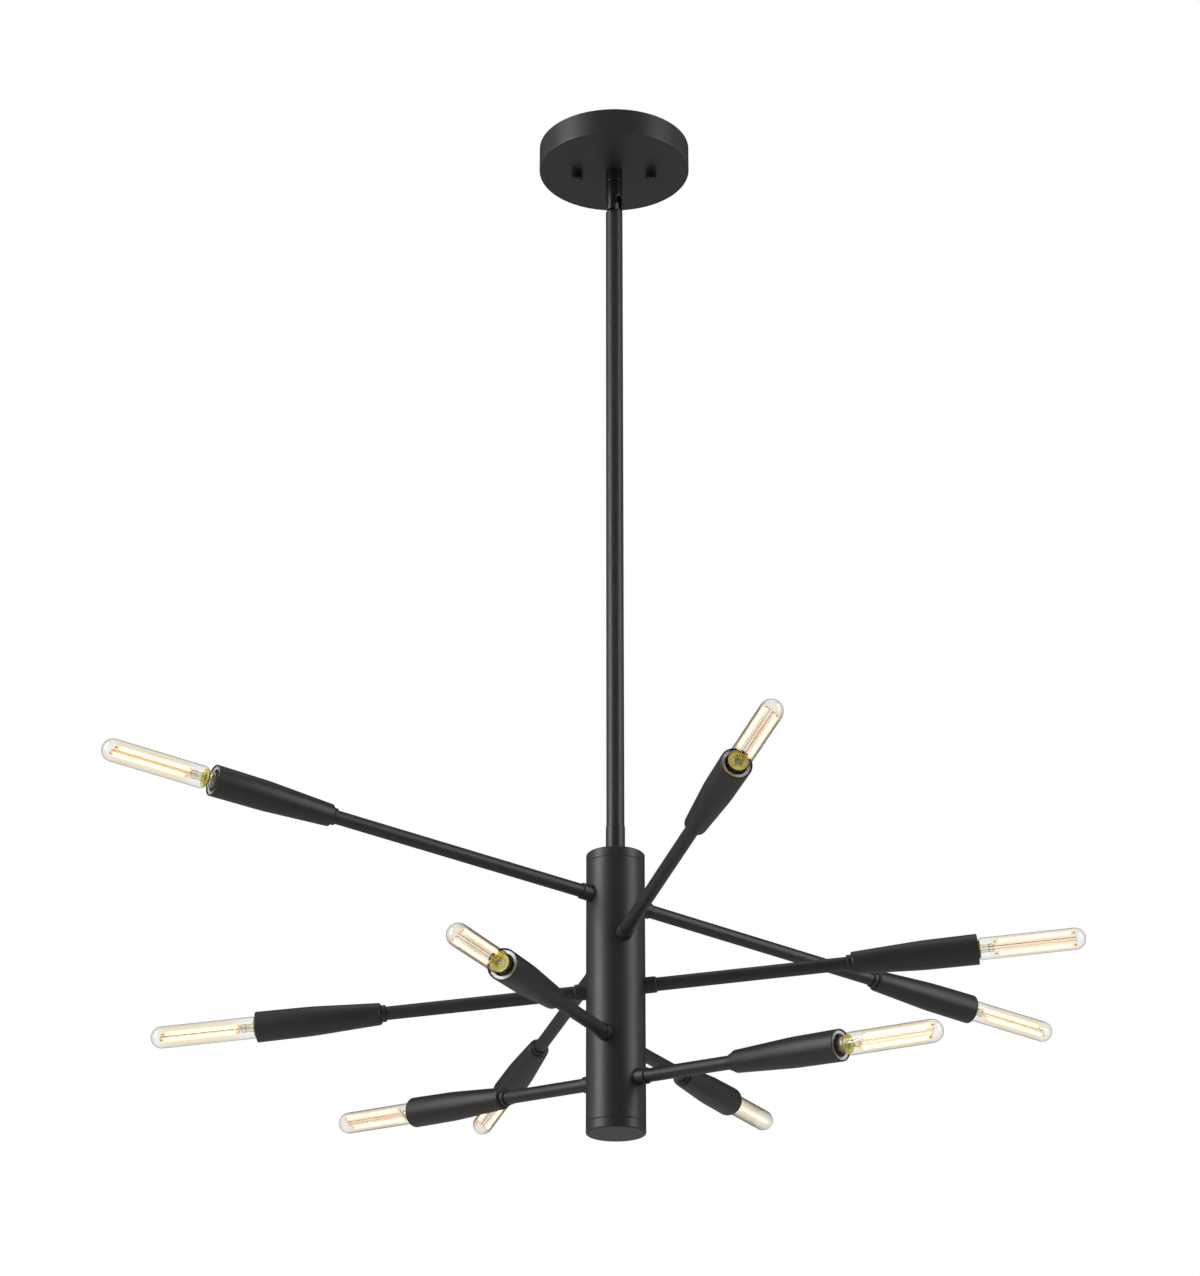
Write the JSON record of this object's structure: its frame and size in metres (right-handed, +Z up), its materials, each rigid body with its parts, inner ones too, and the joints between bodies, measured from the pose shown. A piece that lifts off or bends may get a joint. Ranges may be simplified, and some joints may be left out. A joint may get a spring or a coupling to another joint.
{
  "type": "chandelier",
  "caption": "Ceiling chandelier: a round canopy and tilting swivel carry a long stem and a column whose skewed arms end in tapered cups with tubular filament bulbs.",
  "frame": {"origin": "middle of the canopy's rim, on the ceiling plane", "axes": "+Z up along the stem, +X along the line of the two canopy studs, -Y towards the picture's camera"},
  "size_m": [0.8151, 0.8196, 0.9609],
  "materials": {
    "black_metal": "satin black coat",
    "zinc_steel": "zinc plated",
    "green_screw": "green dyed plating",
    "socket_plastic": "moulded phenolic",
    "nickel": "rolled nickel-plated shell",
    "clear_glass": "clear drawn tube",
    "filament": "phosphor-coated strips"
  },
  "bodies": {
    "canopy": {"canopy": "black_metal", "mounting_bar": "zinc_steel", "canopy_studs": "zinc_steel", "stud_lock_nuts": "zinc_steel", "cap_nuts": "black_metal", "ground_screw": "green_screw", "nipple": "zinc_steel", "nipple_nut": "zinc_steel", "neck_collar": "black_metal"},
    "swivel": {"swivel_yoke": "black_metal", "pivot_pins": "black_metal", "set_screw": "zinc_steel"},
    "pendant": {"swivel_tongue": "black_metal", "stem": "black_metal", "stem_coupling": "black_metal", "top_cap": "black_metal", "column": "black_metal", "bottom_cap": "black_metal", "centre_pipe": "zinc_steel", "pipe_nuts": "zinc_steel", "arm_bosses": "black_metal", "arm_nuts": "zinc_steel", "arm_tubes": "black_metal", "cups_1": "black_metal", "cups_2": "black_metal", "cups_3": "black_metal", "cups_4": "black_metal", "cups_5": "black_metal", "sockets": "socket_plastic"},
    "bulb_01": {"bulb_01_base": "nickel", "bulb_01_glass": "clear_glass", "bulb_01_filament": "filament"},
    "bulb_02": {"bulb_02_base": "nickel", "bulb_02_glass": "clear_glass", "bulb_02_filament": "filament"},
    "bulb_03": {"bulb_03_base": "nickel", "bulb_03_glass": "clear_glass", "bulb_03_filament": "filament"},
    "bulb_04": {"bulb_04_base": "nickel", "bulb_04_glass": "clear_glass", "bulb_04_filament": "filament"},
    "bulb_05": {"bulb_05_base": "nickel", "bulb_05_glass": "clear_glass", "bulb_05_filament": "filament"},
    "bulb_06": {"bulb_06_base": "nickel", "bulb_06_glass": "clear_glass", "bulb_06_filament": "filament"},
    "bulb_07": {"bulb_07_base": "nickel", "bulb_07_glass": "clear_glass", "bulb_07_filament": "filament"},
    "bulb_08": {"bulb_08_base": "nickel", "bulb_08_glass": "clear_glass", "bulb_08_filament": "filament"},
    "bulb_09": {"bulb_09_base": "nickel", "bulb_09_glass": "clear_glass", "bulb_09_filament": "filament"},
    "bulb_10": {"bulb_10_base": "nickel", "bulb_10_glass": "clear_glass", "bulb_10_filament": "filament"}
  },
  "joints": [
    {"name": "swivel_turn", "type": "hinge", "parent": "canopy", "child": "swivel", "pos_m": [0, 0, -0.0373], "axis": [0, 0, 1], "range_deg": [-170, 170]},
    {"name": "stem_tilt", "type": "hinge", "parent": "swivel", "child": "pendant", "pos_m": [0, 0, -0.0607], "axis": [0.7771, 0.6293, 0], "range_deg": [-45, 45]},
    {"name": "turn_bulb_01", "type": "hinge", "parent": "pendant", "child": "bulb_01", "pos_m": [0, 0, -0.75523], "axis": [-0.8498, -0.5187, 0.0941], "range_deg": [0, 1440]},
    {"name": "turn_bulb_02", "type": "hinge", "parent": "pendant", "child": "bulb_02", "pos_m": [0, 0, -0.75523], "axis": [0.8434, 0.529, -0.0941], "range_deg": [0, 1440]},
    {"name": "turn_bulb_03", "type": "hinge", "parent": "pendant", "child": "bulb_03", "pos_m": [0, 0, -0.79478], "axis": [0.2768, -0.9528, 0.1245], "range_deg": [0, 1440]},
    {"name": "turn_bulb_04", "type": "hinge", "parent": "pendant", "child": "bulb_04", "pos_m": [0, 0, -0.79478], "axis": [-0.305, 0.9442, -0.1245], "range_deg": [0, 1440]},
    {"name": "turn_bulb_05", "type": "hinge", "parent": "pendant", "child": "bulb_05", "pos_m": [0, 0, -0.83409], "axis": [0.9931, -0.0799, 0.0863], "range_deg": [0, 1440]},
    {"name": "turn_bulb_06", "type": "hinge", "parent": "pendant", "child": "bulb_06", "pos_m": [0, 0, -0.83409], "axis": [-0.9935, 0.0747, -0.0863], "range_deg": [0, 1440]},
    {"name": "turn_bulb_07", "type": "hinge", "parent": "pendant", "child": "bulb_07", "pos_m": [0, 0, -0.87858], "axis": [-0.3517, -0.9356, -0.0323], "range_deg": [0, 1440]},
    {"name": "turn_bulb_08", "type": "hinge", "parent": "pendant", "child": "bulb_08", "pos_m": [0, 0, -0.87858], "axis": [0.4097, 0.9116, 0.0323], "range_deg": [0, 1440]},
    {"name": "turn_bulb_09", "type": "hinge", "parent": "pendant", "child": "bulb_09", "pos_m": [0, 0, -0.91443], "axis": [0.7602, -0.647, -0.0593], "range_deg": [0, 1440]},
    {"name": "turn_bulb_10", "type": "hinge", "parent": "pendant", "child": "bulb_10", "pos_m": [0, 0, -0.91443], "axis": [-0.7534, 0.6549, 0.0593], "range_deg": [0, 1440]}
  ]
}
